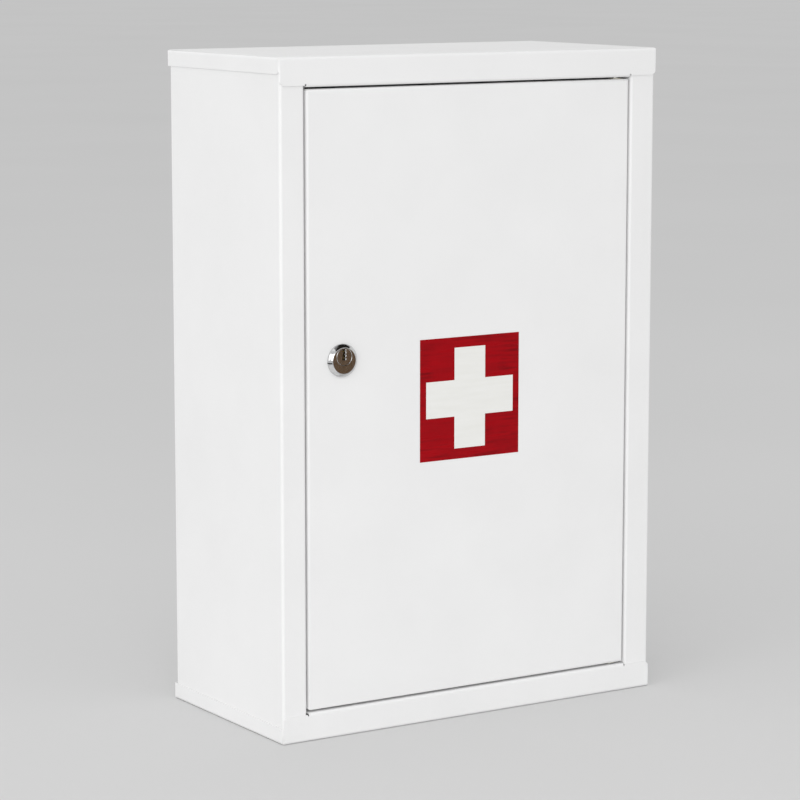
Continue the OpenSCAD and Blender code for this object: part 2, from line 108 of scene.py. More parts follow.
def modified(piece, kind, **settings):
    """Adds a modifier with its settings and applies it."""
    only(piece)
    bpy.ops.object.modifier_add(type=kind)
    modifier = piece.modifiers[-1]
    for name, value in settings.items():
        setattr(modifier, name, value)
    bpy.ops.object.modifier_apply(modifier=modifier.name)


def cut(piece, cutter, operation="DIFFERENCE"):
    """Takes a cutter out of a piece, or adds it, or keeps what lies inside it. The cutter goes."""
    modified(piece, "BOOLEAN", operation=operation, object=cutter, solver="EXACT")
    bpy.data.objects.remove(cutter)


def smooth(piece, degrees):
    """Smooth shading up to an angle, with the large faces kept flat."""
    only(piece)
    bpy.ops.object.shade_smooth_by_angle(angle=math.radians(degrees))
    modified(piece, "WEIGHTED_NORMAL", keep_sharp=True)


def drawn(name, points):
    """A chain of edges, drawn point by point and left open in edit mode with all of it selected."""
    bpy.ops.object.select_all(action="DESELECT")
    bpy.ops.mesh.primitive_plane_add(size=MM, location=(0, 0, 0))
    piece = fresh(name)
    edit(piece, "VERT")
    bpy.ops.mesh.select_all(action="SELECT")
    bpy.ops.mesh.merge(type="CENTER")
    bpy.ops.transform.translate(value=points[0])
    for here, there in zip(points, points[1:]):
        bpy.ops.mesh.extrude_region_move(TRANSFORM_OT_translate={"value": there - here})
    bpy.ops.mesh.select_all(action="SELECT")
    return piece


def in_order(piece):
    """Puts the edges and faces of the open mesh in the order of their points, since spinning
    leaves them in an order that changes from run to run."""
    mesh = bmesh.from_edit_mesh(piece.data)
    mesh.verts.index_update()
    many = len(mesh.verts)

    def rank(part):
        points = sorted(vert.index for vert in part.verts)
        return (points[0] * many + points[1]) * many + points[-1]

    mesh.edges.sort(key=rank)
    mesh.faces.sort(key=rank)
    bmesh.update_edit_mesh(piece.data)


def spun(name, profile, centre, axis, steps):
    """A round piece on an axis, Y or Z: its profile is a list of (radius, place along the axis)
    pairs in mm that starts and ends on the axis."""
    along = {"Y": Vector((0, 1, 0)), "Z": Vector((0, 0, 1))}[axis]
    across = Vector((1, 0, 0))
    points = [Vector(centre) + (across * r + along * t) * MM for r, t in profile]
    piece = drawn(name, points)
    bpy.ops.mesh.spin(steps=steps, angle=TURN, center=centre, axis=along)
    in_order(piece)
    bpy.ops.mesh.select_all(action="SELECT")
    bpy.ops.mesh.remove_doubles(threshold=2 * SAME_POINT)
    bpy.ops.mesh.dissolve_limited(angle_limit=math.radians(0.05))
    faced_out()
    return piece


def block(name, low, high):
    """A block between two corners."""
    low, high = Vector(low), Vector(high)
    bpy.ops.object.select_all(action="DESELECT")
    bpy.ops.mesh.primitive_cube_add(size=1, location=(low + high) / 2, scale=high - low)
    return fresh(name)


def joined(pieces):
    """Joins several pieces into the first."""
    bpy.ops.object.select_all(action="DESELECT")
    for piece in pieces:
        piece.select_set(True)
    bpy.context.view_layer.objects.active = pieces[0]
    bpy.ops.object.join()
    return pieces[0]


def moved(piece, by):
    """Shifts a piece's mesh."""
    edit(piece, "VERT")
    bpy.ops.mesh.select_all(action="SELECT")
    bpy.ops.transform.translate(value=by)
    close()
    return piece


def copied(piece, name, by):
    """A copy with its own mesh, shifted."""
    only(piece)
    bpy.ops.object.duplicate(linked=False)
    twin = bpy.context.object
    twin.name = name
    return moved(twin, by)


def dressed(piece, finish):
    """Gives a piece one finish and no other."""
    piece.data.materials.clear()
    piece.data.materials.append(finish)
    return piece


def stand(piece, node):
    """The piece stands for a node: it has the node's finish and rides on the node's body."""
    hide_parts(node)
    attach(piece, BODY[node])
    dressed(piece, FINISH[SLOT[node]])


def repeated(first, stem, places, node):
    """Puts a piece at the first place and copies of it, numbered from 2, at the others. All of
    them stand for one node."""
    for i, place in enumerate(places[1:], 2):
        stand(copied(first, f"{stem}_{i}", place), node)
    stand(moved(first, places[0]), node)


# ---------- Materials ----------

# Noise lies mostly between these, so what follows it starts and ends there.
SPREAD = {"From Min": 0.3, "From Max": 0.7}


def linear(hex_colour):
    """An sRGB hex colour as linear red, green, blue and alpha."""
    steps = [int(hex_colour[i:i + 2], 16) / 255 for i in (1, 3, 5)]
    return (*[s / 12.92 if s <= 0.04045 else ((s + 0.055) / 1.055) ** 2.4 for s in steps], 1)


def waves(*mm):
    """The scale that makes a pattern's waves this long in mm, all round or along X, Y and Z."""
    scale = [1 / (length * MM) for length in mm]
    return scale if len(scale) == 3 else scale[0]


def add(tree, kind, settings):
    """Adds a node. Its settings name its own properties or its inputs. An input takes a constant,
    another node's output, or another node, and then its first output is meant."""
    node = tree.nodes.new("ShaderNode" + kind)
    for name, value in settings.items():
        if isinstance(value, bpy.types.Node):
            value = value.outputs[0]
        if isinstance(value, bpy.types.NodeSocket):
            tree.links.new(value, node.inputs[name])
        elif isinstance(name, int) or name in node.inputs:
            node.inputs[name].default_value = value
        else:
            setattr(node, name, value)
    return node


def begun(name):
    """An empty material, its tree, and the place that its patterns start from."""
    material = bpy.data.materials.new(name)
    material.use_nodes = True
    tree = material.node_tree
    tree.nodes.clear()
    return material, tree, add(tree, "TexCoord", {}).outputs["Object"]


def finished(material, settings):
    """Gives a material its shader, with these settings."""
    shader = add(material.node_tree, "BsdfPrincipled", settings)
    add(material.node_tree, "OutputMaterial", {"Surface": shader})
    return material


def powder_coat():
    """White polyester powder coat, melted and cured on the folded sheet. One soft white skin at
    half gloss: its orange peel, waves 1 to 2 mm long, blurs every reflection, and it is a touch
    greyer where it is thin."""
    material, tree, place = begun("white_powder_coat")
    clouds = add(tree, "TexNoise", {"Vector": place, "Scale": waves(60), "Detail": 4})
    thin = add(tree, "MapRange", {"Value": clouds, **SPREAD})
    white = add(tree, "Mix", {"data_type": "RGBA", 0: thin,
                              6: linear("#F1F1F1"), 7: linear("#F4F4F4")})
    sheen = add(tree, "TexNoise", {"Vector": place, "Scale": waves(12), "Detail": 3})
    gloss = add(tree, "MapRange", {"Value": sheen, **SPREAD, "To Min": 0.42, "To Max": 0.48})
    peel = add(tree, "TexNoise", {"Vector": place, "Scale": waves(1.8), "Detail": 1})
    peeled = add(tree, "Bump", {"Height": peel, "Distance": 0.03 * MM})
    grit = add(tree, "TexNoise", {"Vector": place, "Scale": waves(0.6), "Detail": 2})
    gritty = add(tree, "Bump", {"Height": grit, "Distance": 0.004 * MM, "Normal": peeled})
    return finished(material, {"Base Color": white.outputs[2], "Roughness": gloss,
                               "Normal": gritty})


def bright_zinc():
    """Bright zinc plate with a clear passivation, on turned and stamped steel. Silver that drifts
    between cool blue and straw, hazed and finely scuffed by the plating barrel."""
    material, tree, place = begun("bright_zinc_plate")
    patches = add(tree, "TexNoise", {"Vector": place, "Scale": waves(9), "Detail": 3})
    tint = add(tree, "MapRange", {"Value": patches, **SPREAD})
    silver = add(tree, "Mix", {"data_type": "RGBA", 0: tint,
                               6: linear("#B7BDC8"), 7: linear("#CBC9C0")})
    along = add(tree, "Mapping", {"Vector": place, "Rotation": (0.5, 0.7, 0.3),
                                  "Scale": waves(0.25, 0.25, 1.75)})
    scuffs = add(tree, "TexNoise", {"Vector": along, "Scale": 1, "Detail": 3})
    scuffed = add(tree, "MapRange", {"Value": scuffs, "From Min": 0.62, "From Max": 0.75})
    colour = add(tree, "Mix", {"data_type": "RGBA", 0: scuffed,
                               6: silver.outputs[2], 7: linear("#A9ABB0")})
    haze = add(tree, "TexNoise", {"Vector": place, "Scale": waves(1.2), "Detail": 4})
    gloss = add(tree, "MapRange", {"Value": haze, **SPREAD, "To Min": 0.2, "To Max": 0.42})
    scratched = add(tree, "Bump", {"Height": scuffs, "Distance": 0.004 * MM})
    return finished(material, {"Metallic": 1, "Base Color": colour.outputs[2],
                               "Roughness": gloss, "Normal": scratched})


def chrome_plate():
    """Chrome plate over polished die-cast zinc. A cool, slightly dark mirror, rippled a little by
    the buffing, with hair-fine rub marks left by keys."""
    material, tree, place = begun("chrome_plate")
    upright = add(tree, "Mapping", {"Vector": place, "Rotation": (0, 0.9, 0),
                                    "Scale": waves(0.09, 0.09, 1.26)})
    hairs = add(tree, "TexNoise", {"Vector": upright, "Scale": 1, "Detail": 2})
    across = add(tree, "Mapping", {"Vector": place, "Rotation": (0, 0.4, 0),
                                   "Scale": waves(1.26, 0.09, 0.09)})
    crossing = add(tree, "TexNoise", {"Vector": across, "Scale": 1, "Detail": 2})
    marks = add(tree, "Math", {"operation": "MAXIMUM", 0: hairs, 1: crossing})
    marked = add(tree, "MapRange", {"Value": marks, "From Min": 0.64, "From Max": 0.74})
    bloom = add(tree, "TexNoise", {"Vector": place, "Scale": waves(3), "Detail": 3})
    bloomed = add(tree, "MapRange", {"Value": bloom, **SPREAD})
    mirror = add(tree, "Mix", {"data_type": "RGBA", 0: bloomed,
                               6: linear("#C6C7C9"), 7: linear("#D6D6D5")})
    colour = add(tree, "Mix", {"data_type": "RGBA", 0: marked,
                               6: mirror.outputs[2], 7: linear("#B2B0AD")})
    gloss = add(tree, "MapRange", {"Value": marks, "From Min": 0.55, "From Max": 0.75,
                                   "To Min": 0.06, "To Max": 0.2})
    ripple = add(tree, "TexNoise", {"Vector": place, "Scale": waves(1.4), "Detail": 1})
    rippled = add(tree, "Bump", {"Height": ripple, "Distance": 0.0025 * MM})
    return finished(material, {"Metallic": 1, "Base Color": colour.outputs[2],
                               "Roughness": gloss, "Normal": rippled})


def stamped_brass():
    """Half-hard brass strip, stamped. Warm yellow metal with rolling lines along the strip, mostly
    under a dark grey-brown painted shade that keeps the wafers dark behind the keyway."""
    material, tree, place = begun("stamped_brass")
    # Painted shade: these dark grey-brown blotches darken the brass as the keyway's depth would.
    painted_shade_clouds = add(tree, "TexNoise", {"Vector": place, "Scale": waves(2.5), "Detail": 4})
    painted_shade_mask = add(tree, "MapRange", {"Value": painted_shade_clouds, "From Min": 0.42, "From Max": 0.55})
    brass = add(tree, "Mix", {"data_type": "RGBA", 0: painted_shade_mask,
                              6: linear("#A98A4C"), 7: linear("#4E4432")})
    along = add(tree, "Mapping", {"Vector": place, "Scale": waves(0.08, 0.08, 1.6)})
    rolled = add(tree, "TexNoise", {"Vector": along, "Scale": 1, "Detail": 2})
    lined = add(tree, "MapRange", {"Value": rolled, "From Min": 0.6, "From Max": 0.8})
    colour = add(tree, "Mix", {"data_type": "RGBA", 0: lined,
                               6: brass.outputs[2], 7: linear("#6A5228")})
    gloss = add(tree, "MapRange", {"Value": rolled, **SPREAD, "To Min": 0.22, "To Max": 0.42})
    grooved = add(tree, "Bump", {"Height": rolled, "Distance": 0.003 * MM})
    return finished(material, {"Metallic": 1, "Base Color": colour.outputs[2],
                               "Roughness": gloss, "Normal": grooved})


def natural_nylon():
    """Natural nylon, injection moulded. Waxy and lets a little light in, satin, with faint flow
    clouds. Its off-white is greyed by painted shade, so that the bushes stay dim in the door's gap."""
    material, tree, place = begun("natural_nylon")
    along = add(tree, "Mapping", {"Vector": place, "Scale": waves(3, 3, 9)})
    flow = add(tree, "TexNoise", {"Vector": along, "Scale": 1, "Detail": 3})
    flow_tone = add(tree, "MapRange", {"Value": flow, **SPREAD})
    # Both greys are painted shade: the off-white is darkened so the bushes in the door's gap stay
    # dim.
    shade_greyed_nylon = add(tree, "Mix", {"data_type": "RGBA", 0: flow_tone,
                             6: linear("#BDB8AA"), 7: linear("#CFCBBE")})
    satin = add(tree, "TexNoise", {"Vector": place, "Scale": waves(0.5), "Detail": 3})
    gloss = add(tree, "MapRange", {"Value": satin, **SPREAD, "To Min": 0.36, "To Max": 0.5})
    flowed = add(tree, "Bump", {"Height": flow, "Distance": 0.01 * MM})
    return finished(material, {"IOR": 1.53, "Subsurface Weight": 0.2,
                               "Subsurface Radius": (1.0, 0.9, 0.7), "Subsurface Scale": 0.001,
                               "Base Color": shade_greyed_nylon.outputs[2], "Roughness": gloss,
                               "Normal": flowed})


def moulded_rubber():
    """Black rubber, compression moulded. Near-black and matt, fine-grained from a sparked mould,
    with a dusty grey bloom."""
    material, tree, place = begun("moulded_black_rubber")
    bloom = add(tree, "TexNoise", {"Vector": place, "Scale": waves(1.6), "Detail": 5,
                                   "Roughness": 0.65})
    dusty = add(tree, "MapRange", {"Value": bloom, **SPREAD})
    black = add(tree, "Mix", {"data_type": "RGBA", 0: dusty,
                              6: linear("#191919"), 7: linear("#2B2A29")})
    matt = add(tree, "MapRange", {"Value": bloom, **SPREAD, "To Min": 0.6, "To Max": 0.8})
    grain = add(tree, "TexNoise", {"Vector": place, "Scale": waves(0.2), "Detail": 2})
    grained = add(tree, "Bump", {"Height": grain, "Distance": 0.01 * MM})
    return finished(material, {"IOR": 1.52, "Base Color": black.outputs[2], "Roughness": matt,
                               "Normal": grained})


def red_film():
    """Red self-adhesive vinyl, calendered. Deep even red at satin gloss, with faint darker bands
    across it where the film was rolled and rubbed down."""
    material, tree, place = begun("red_vinyl_film")
    across = add(tree, "Mapping", {"Vector": place, "Rotation": (0, math.radians(2), 0),
                                   "Scale": waves(30.8, 2.2, 2.2)})
    bands = add(tree, "TexNoise", {"Vector": across, "Scale": 1, "Detail": 4, "Roughness": 0.6})
    banded = add(tree, "MapRange", {"Value": bands, "From Min": 0.45, "From Max": 0.68})
    patches = add(tree, "TexNoise", {"Vector": place, "Scale": waves(22), "Detail": 2})
    patchy = add(tree, "MapRange", {"Value": patches, "From Min": 0.42, "From Max": 0.6,
                                    "To Min": 0.25, "To Max": 1})
    streaks = add(tree, "Math", {"operation": "MULTIPLY", 0: banded, 1: patchy})
    rolled = add(tree, "Mapping", {"Vector": place, "Scale": waves(20, 5, 5)})
    clouds = add(tree, "TexNoise", {"Vector": rolled, "Scale": 1, "Detail": 4})
    clouded = add(tree, "MapRange", {"Value": clouds, **SPREAD})
    red = add(tree, "Mix", {"data_type": "RGBA", 0: clouded,
                            6: linear("#9B0310"), 7: linear("#A50512")})
    colour = add(tree, "Mix", {"data_type": "RGBA", 0: streaks,
                               6: red.outputs[2], 7: linear("#78030D")})
    satin = add(tree, "MapRange", {"Value": bands, **SPREAD, "To Min": 0.26, "To Max": 0.34})
    along = add(tree, "Mapping", {"Vector": place, "Scale": waves(2.1, 0.7, 0.7)})
    grain = add(tree, "TexNoise", {"Vector": along, "Scale": 1, "Detail": 2})
    grained = add(tree, "Bump", {"Height": grain, "Distance": 0.006 * MM})
    return finished(material, {"IOR": 1.45, "Specular IOR Level": 0.14,
                               "Base Color": colour.outputs[2], "Roughness": satin,
                               "Normal": grained})


def white_film():
    """White self-adhesive vinyl, calendered. Slightly warmer and greyer than the coat round it,
    satin, with the same rubbed-down lines as the red."""
    material, tree, place = begun("white_vinyl_film")
    across = add(tree, "Mapping", {"Vector": place, "Scale": waves(30, 3, 3)})
    rubbed = add(tree, "TexNoise", {"Vector": across, "Scale": 1, "Detail": 3})
    lined = add(tree, "MapRange", {"Value": rubbed, **SPREAD})
    white = add(tree, "Mix", {"data_type": "RGBA", 0: lined,
                              6: linear("#EEEEEA"), 7: linear("#F2F2EF")})
    satin = add(tree, "MapRange", {"Value": rubbed, **SPREAD, "To Min": 0.4, "To Max": 0.48})
    along = add(tree, "Mapping", {"Vector": place, "Scale": waves(2.1, 0.7, 0.7)})
    grain = add(tree, "TexNoise", {"Vector": along, "Scale": 1, "Detail": 2})
    grained = add(tree, "Bump", {"Height": grain, "Distance": 0.006 * MM})
    return finished(material, {"IOR": 1.45, "Base Color": white.outputs[2], "Roughness": satin,
                               "Normal": grained})


def notch_shade_paint():
    """Near-black, semi-matt and uneven: painted shade on the faces of the bezel's index notch."""
    material, tree, place = begun("painted_notch_shade")
    notch_tone = add(tree, "TexNoise", {"Vector": place, "Scale": waves(0.5), "Detail": 3})
    thin = add(tree, "MapRange", {"Value": notch_tone, **SPREAD})
    # Painted shade: the near-black stands in for the shade inside the notch's slot.
    black = add(tree, "Mix", {"data_type": "RGBA", 0: thin,
                              6: linear("#141312"), 7: linear("#2A2826")})
    gloss = add(tree, "MapRange", {"Value": notch_tone, **SPREAD, "To Min": 0.4, "To Max": 0.65})
    return finished(material, {"Base Color": black.outputs[2], "Roughness": gloss})


FINISH = {
    "powder_coated_steel": powder_coat(),
    "zinc_plated_steel": bright_zinc(),
    "chromed_zinc": chrome_plate(),
    "brass": stamped_brass(),
    "nylon": natural_nylon(),
    "black_rubber": moulded_rubber(),
    "red_film": red_film(),
}
SLOT = {part["node"]: part["material_slot"] for part in frame["record"]["subparts"]}
BODY = {node: body
        for body, nodes in frame["record"]["behaviour"]["bodies"].items() for node in nodes}


# ---------- Folded sheets and other eased pieces ----------

# Rounding of the sheets' edges, and the width a face needs for its edges to be rounded, in mm.
PANEL_EDGE_R = 0.3
SHELF_EDGE_R = 0.1
SLIMMEST = 0.5
# Edges that turn by more than these angles, in degrees, are rounded, and shaded as sharp.
SHEARED_ANGLE = 60
SHARP_ANGLE = 50


def eased(node, name, edge_r, segments=2, slimmest=0):
    """The node's own shape with its sheared edges rounded, as the coat or the tumbling leaves
    them. Edges of slimmer faces stay sharp, so that nothing folds over in a tight corner."""
    piece = frame["nodes"][node].copy()
    piece.data = piece.data.copy()
    piece.name = name
    piece.parent = None
    # The copy isn't a node, so it sheds the frame's marks.
    for key in [k for k in piece.keys() if k.startswith("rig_")]:
        del piece[key]
    bpy.context.scene.collection.objects.link(piece)
    only(piece)
    bpy.ops.mesh.customdata_custom_splitnormals_clear()
    edit(piece, "EDGE")
    bpy.ops.mesh.select_all(action="SELECT")
    bpy.ops.mesh.remove_doubles(threshold=SAME_POINT)
    bpy.ops.mesh.mark_sharp(clear=True)
    bpy.ops.mesh.dissolve_limited(angle_limit=math.radians(0.6))
    bpy.ops.mesh.select_all(action="DESELECT")

    def is_sheared(edge):
        return (edge.is_manifold and edge.calc_face_angle() > math.radians(SHEARED_ANGLE)
                and min(face.calc_area() for face in edge.link_faces)
                > slimmest * MM * edge.calc_length())

    pick(piece, "edges", is_sheared)
    bpy.ops.mesh.bevel(offset=edge_r * MM, segments=segments, affect="EDGES", clamp_overlap=True)
    close()
    # A bevel's corner can bulge by some microns, so it is pressed back inside the node's box.
    low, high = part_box(node)
    for vert in piece.data.vertices:
        vert.co = [min(max(at, least), most) for at, least, most in zip(vert.co, low, high)]
    smooth(piece, degrees=SHARP_ANGLE)
    stand(piece, node)


for node in ("top_cap", "bottom_tray", "left_side_panel", "right_side_panel", "back_panel",
             "door_panel"):
    eased(node, "coated_" + node, PANEL_EDGE_R, segments=3, slimmest=SLIMMEST)
for node in ("upper_shelf", "lower_shelf", "upper_left_rail", "upper_right_rail",
             "lower_left_rail", "lower_right_rail"):
    eased(node, "coated_" + node, SHELF_EDGE_R, segments=3, slimmest=SLIMMEST)
for node, edge_r in (("top_hinge_pin", 0.3), ("bottom_hinge_pin", 0.3), ("thrust_washer", 0.08),
                     ("top_hinge_bush", 0.1), ("bottom_hinge_bush", 0.1), ("lock_washer", 0.15),
                     ("lock_wafers", 0.06), ("lock_cam", 0.3), ("cam_washer", 0.1)):
    eased(node, "eased_" + node, edge_r)


# Two rows of spot welds up the back panel, in mm.
WELD_X = 142.5
WELD_LOW = 45
WELD_PITCH = 60
WELDS_UP = 7
WELD_TIP_R = 20
WELD_DEEP = 0.16


def spot_welds():
    """The shallow dimples that a spot welder's tips press into the back panel, under the coat."""
    panel = bpy.data.objects["coated_back_panel"]
    tip_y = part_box("back_panel")[1].y + (WELD_TIP_R - WELD_DEEP) * MM
    tips = []
    for side in (-1, 1):
        for i in range(WELDS_UP):
            bpy.ops.object.select_all(action="DESELECT")
            bpy.ops.mesh.primitive_uv_sphere_add(
                segments=24, ring_count=16, radius=WELD_TIP_R * MM, rotation=(math.pi / 2, 0, 0),
                location=(side * WELD_X * MM, tip_y, (WELD_LOW + i * WELD_PITCH) * MM))
            tips.append(fresh("tip"))
    cut(panel, joined(tips))
    smooth(panel, degrees=SHARP_ANGLE)


spot_welds()


# ---------- The lock ----------

# Sizes in mm. Places along Y are from the door's face, and negative in front of it.
FACE_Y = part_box("left_side_panel")[0].y
LOCK = middle("lock_body")
LOCK_AT = Vector((LOCK.x, FACE_Y, LOCK.z))
PLUG_AT = Vector((LOCK.x, FACE_Y, middle("lock_plug").z))
BEZEL_R = 11
BEZEL_H = 3.3
BARREL_R = 9
BARREL_L = 16.0
BARREL_FLAT = 8.2
THREAD_DEPTH = 0.45
THREAD_PITCH = 1.0
BORE_R = 5.75
BORE_EDGE = 0.17
PLUG_R = 5.7
PLUG_EDGE = 0.16
PLUG_FRONT = -BEZEL_H + 0.1
SHOULDER = 16.55
TAIL_HALF = 3.2
TAIL_END = 18.3
KEYWAY_END = BARREL_L - 4
KEYWAY_EDGE = 0.24
WAFERS = 5
WAFER_PITCH = 2
# How far a cutter starts in front of the door's face and how far it runs past what it cuts.
AHEAD = 4
PAST = 1
# Edges of turned pieces that turn by more than this angle, in degrees, are shaded as sharp.
TURNED_ANGLE = 35


def arc(centre, radius, start, end, steps):
    """Points of an arc, as (radius, place) pairs, between two angles in degrees."""
    angles = [math.radians(start + (end - start) * i / steps) for i in range(steps + 1)]
    return [(centre[0] + radius * math.cos(a), centre[1] + radius * math.sin(a)) for a in angles]


def thread(radius, depth, pitch, start, end):
    """The saw-tooth profile of a thread between two places."""
    step = pitch if end > start else -pitch
    turns = int(abs(end - start) / pitch)
    points = []
    for i in range(turns):
        at = start + i * step
        points += [(radius, at), (radius, at + 0.15 * step), (radius - depth, at + 0.5 * step),
                   (radius - depth, at + 0.6 * step)]
    return [*points, (radius, start + turns * step)]


def lock_housing():
    """Die-cast lock body: the polished bezel in front of the door, the threaded barrel behind."""
    profile = [
        (0, BARREL_L), (BARREL_R - 0.5, BARREL_L), (BARREL_R, BARREL_L - 0.5),
        *thread(BARREL_R, THREAD_DEPTH, THREAD_PITCH, BARREL_L - 0.8, 1.2),
        (BARREL_R, 0), (BEZEL_R, 0),
        # A small round at the rim, a hollow cone, and a round into the flat face.
        *arc((10.5, -1.136), 0.5, 0, -41.2, 3),
        *arc((3.899, 4.639), 9.27, -41.2, -57.8, 8)[1:],
        *arc((8.515, -2.7), 0.6, -57.8, -90, 4)[1:],
        (0, -BEZEL_H),
    ]
    body = spun("lock_housing", profile, LOCK_AT, "Y", steps=96)
    # The two flats that keep the barrel from turning in the door.
    for side in (-1, 1):
        low_x, high_x = sorted((side * BARREL_FLAT, side * (BARREL_FLAT + 2)))
        cut(body, block("flat", LOCK_AT + Vector((low_x, 0, -12)) * MM,
                        LOCK_AT + Vector((high_x, BARREL_L + PAST, 12)) * MM))
    bore_mouth = BORE_R + BORE_EDGE
    cut(body, spun("bore", [(0, -AHEAD), (bore_mouth, -AHEAD), (bore_mouth, -BEZEL_H),
                            (BORE_R, -BEZEL_H + BORE_EDGE), (BORE_R, BARREL_L + PAST),
                            (0, BARREL_L + PAST)], PLUG_AT, "Y", steps=72))
    # The index notch across the left of the rim.
    low = LOCK_AT + Vector((-12, -AHEAD, -1.6)) * MM
    high = LOCK_AT + Vector((-9.1, -0.35, -0.85)) * MM
    cut(body, block("notch", low, high))
    smooth(body, degrees=40)
    stand(body, "lock_body")
    # The notch's faces get a near-black finish, which is painted shade in the slot.
    body.data.materials.append(notch_shade_paint())

    def in_notch(face):
        at = face.calc_center_median()
        return all(low[i] - ON_PLANE < at[i] < high[i] + ON_PLANE for i in range(3))

    edit(body)
    pick(body, "faces", in_notch)
    body.active_material_index = 1
    bpy.ops.object.material_slot_assign()
    close()


def keyway(outline):
    """A prism to cut the keyway with. Its outline is in mm from the plug's axis."""
    points = [PLUG_AT + Vector((x, -AHEAD, z)) * MM for x, z in outline]
    piece = drawn("way", [*points, points[0]])
    bpy.ops.mesh.remove_doubles(threshold=SAME_POINT)
    bpy.ops.mesh.select_all(action="SELECT")
    bpy.ops.mesh.edge_face_add()
    bpy.ops.mesh.extrude_region_move(
        TRANSFORM_OT_translate={"value": (0, (KEYWAY_END + AHEAD) * MM, 0)})
    faced_out()
    return piece


def lock_core():
    """The plug: its face with the warded keyway, the wafers' slots and the square cam end."""
    plug = spun("lock_core", [(0, SHOULDER), (PLUG_R - 0.3, SHOULDER), (PLUG_R, SHOULDER - 0.3),
                              (PLUG_R, PLUG_FRONT + PLUG_EDGE), (PLUG_R - PLUG_EDGE, PLUG_FRONT),
                              (0, PLUG_FRONT)], PLUG_AT, "Y", steps=72)
    low = Vector((-TAIL_HALF, SHOULDER - PAST, -TAIL_HALF)) * MM
    high = Vector((TAIL_HALF, TAIL_END, TAIL_HALF)) * MM
    cut(plug, block("tail", PLUG_AT + low, PLUG_AT + high), "UNION")
    # The blade's way in is narrowed by one rib on the left and three on the right.
    cut(plug, keyway([(-1.2, -2), (1.1, -2), (1.25, -1.1), (0.55, -0.8), (0.55, -0.2), (1.1, 0),
                      (1.3, 1.1), (0.5, 1.4), (0.5, 2.0), (1.1, 2.2), (1.3, 3.3), (0.55, 3.6),
                      (0.55, 4.2), (1.1, 4.35), (1.2, 4.95), (-1.2, 4.95), (-1.2, 3.2),
                      (-0.6, 2.9), (-0.6, 1.7), (-1.2, 1.4)]))
    face_y = PLUG_AT.y + PLUG_FRONT * MM
    inner_r = (PLUG_R - 0.4) * MM

    def at_mouth(edge):
        return all(abs(vert.co.y - face_y) < ON_PLANE and (vert.co - PLUG_AT).xz.length < inner_r
                   for vert in edge.verts)

    edit(plug, "EDGE")
    pick(plug, "edges", at_mouth)
    bpy.ops.mesh.bevel(offset=KEYWAY_EDGE * MM, segments=1, affect="EDGES", clamp_overlap=False)
    close()
    slots = []
    for i in range(WAFERS):
        low = Vector((-2.3, 1.1 + i * WAFER_PITCH, -7)) * MM
        high = Vector((2.3, 2.3 + i * WAFER_PITCH, 7)) * MM
        slots.append(block("slot", PLUG_AT + low, PLUG_AT + high))
    cut(plug, joined(slots))
    screw_hole = [(0, 13.3), (1.55, 13.3), (1.55, 19), (0, 19)]
    cut(plug, spun("screw_hole", screw_hole, PLUG_AT, "Y", steps=32))
    smooth(plug, degrees=TURNED_ANGLE)
    stand(plug, "lock_plug")


def hex_nut():
    """Thin hexagon nut, its corners turned off at both faces."""
    across_flats, face_r, corner_r, chamfer_h = 22, 10.7, 13.3, 1.4
    hole_r, mouth_r = 9.05, 9.6
    low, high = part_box("lock_nut")
    thick = (high.y - low.y) / MM
    centre = Vector((LOCK.x, low.y, LOCK.z))
    bpy.ops.object.select_all(action="DESELECT")
    bpy.ops.mesh.primitive_cylinder_add(
        vertices=6, radius=across_flats / math.sqrt(3) * MM, depth=thick * MM,
        location=centre + Vector((0, thick / 2 * MM, 0)), rotation=(math.pi / 2, 0, 0))
    nut = fresh("hexagon_nut")
    cut(nut, spun("turned", [(0, 0), (face_r, 0), (corner_r, chamfer_h),
                             (corner_r, thick - chamfer_h), (face_r, thick), (0, thick)],
                  centre, "Y", steps=96), "INTERSECT")
    cut(nut, spun("bore", [(0, -PAST), (mouth_r, -PAST), (mouth_r, 0), (hole_r, 0.5),
                           (hole_r, thick - 0.5), (mouth_r, thick), (mouth_r, thick + PAST),
                           (0, thick + PAST)], centre, "Y", steps=96))
    smooth(nut, degrees=TURNED_ANGLE)
    stand(nut, "lock_nut")


# ---------- Screws, springs and buffers ----------

# Sizes in mm. The coat is what lies between a shelf and its screws' heads.
SCREW_HEAD_R = 3.5
SHELF_SCREW_HEAD_H = 2.0
CAM_SCREW_HEAD_H = 2.2
COAT = 0.05


def pan_screw(name, head_h, shank_r, length, pitch):
    """Pan-head screw with a cross recess, head up, its bearing face at the origin."""
    head_r = SCREW_HEAD_R
    profile = [
        (0, head_h), (0.45 * head_r, 0.985 * head_h), (0.75 * head_r, 0.86 * head_h),
        (0.93 * head_r, 0.6 * head_h), (head_r, 0.28 * head_h), (head_r, 0), (shank_r, 0),
        *thread(shank_r, 0.22 * shank_r, pitch, -0.3, -length + 0.6),
        (0.7 * shank_r, -length), (0, -length),
    ]
    screw = spun(name, profile, (0, 0, 0), "Z", steps=32)
    # The recess: two crossed slots that taper to less than half their size at the foot.
    slot_l, slot_w, slot_foot, slot_taper = 1.1 * head_r, 0.26 * head_r, 0.25 * head_h, 0.45
    for x, y in ((slot_l, slot_w), (slot_w, slot_l)):
        blade = block("blade", Vector((-x / 2, -y / 2, slot_foot)) * MM,
                      Vector((x / 2, y / 2, 1.5 * head_h)) * MM)
        edit(blade)
        pick(blade, "faces", lambda face: face.normal.z < -0.9)
        bpy.ops.transform.resize(value=(slot_taper, slot_taper, 1))
        close()
        cut(screw, blade)
    smooth(screw, degrees=TURNED_ANGLE)
    return screw


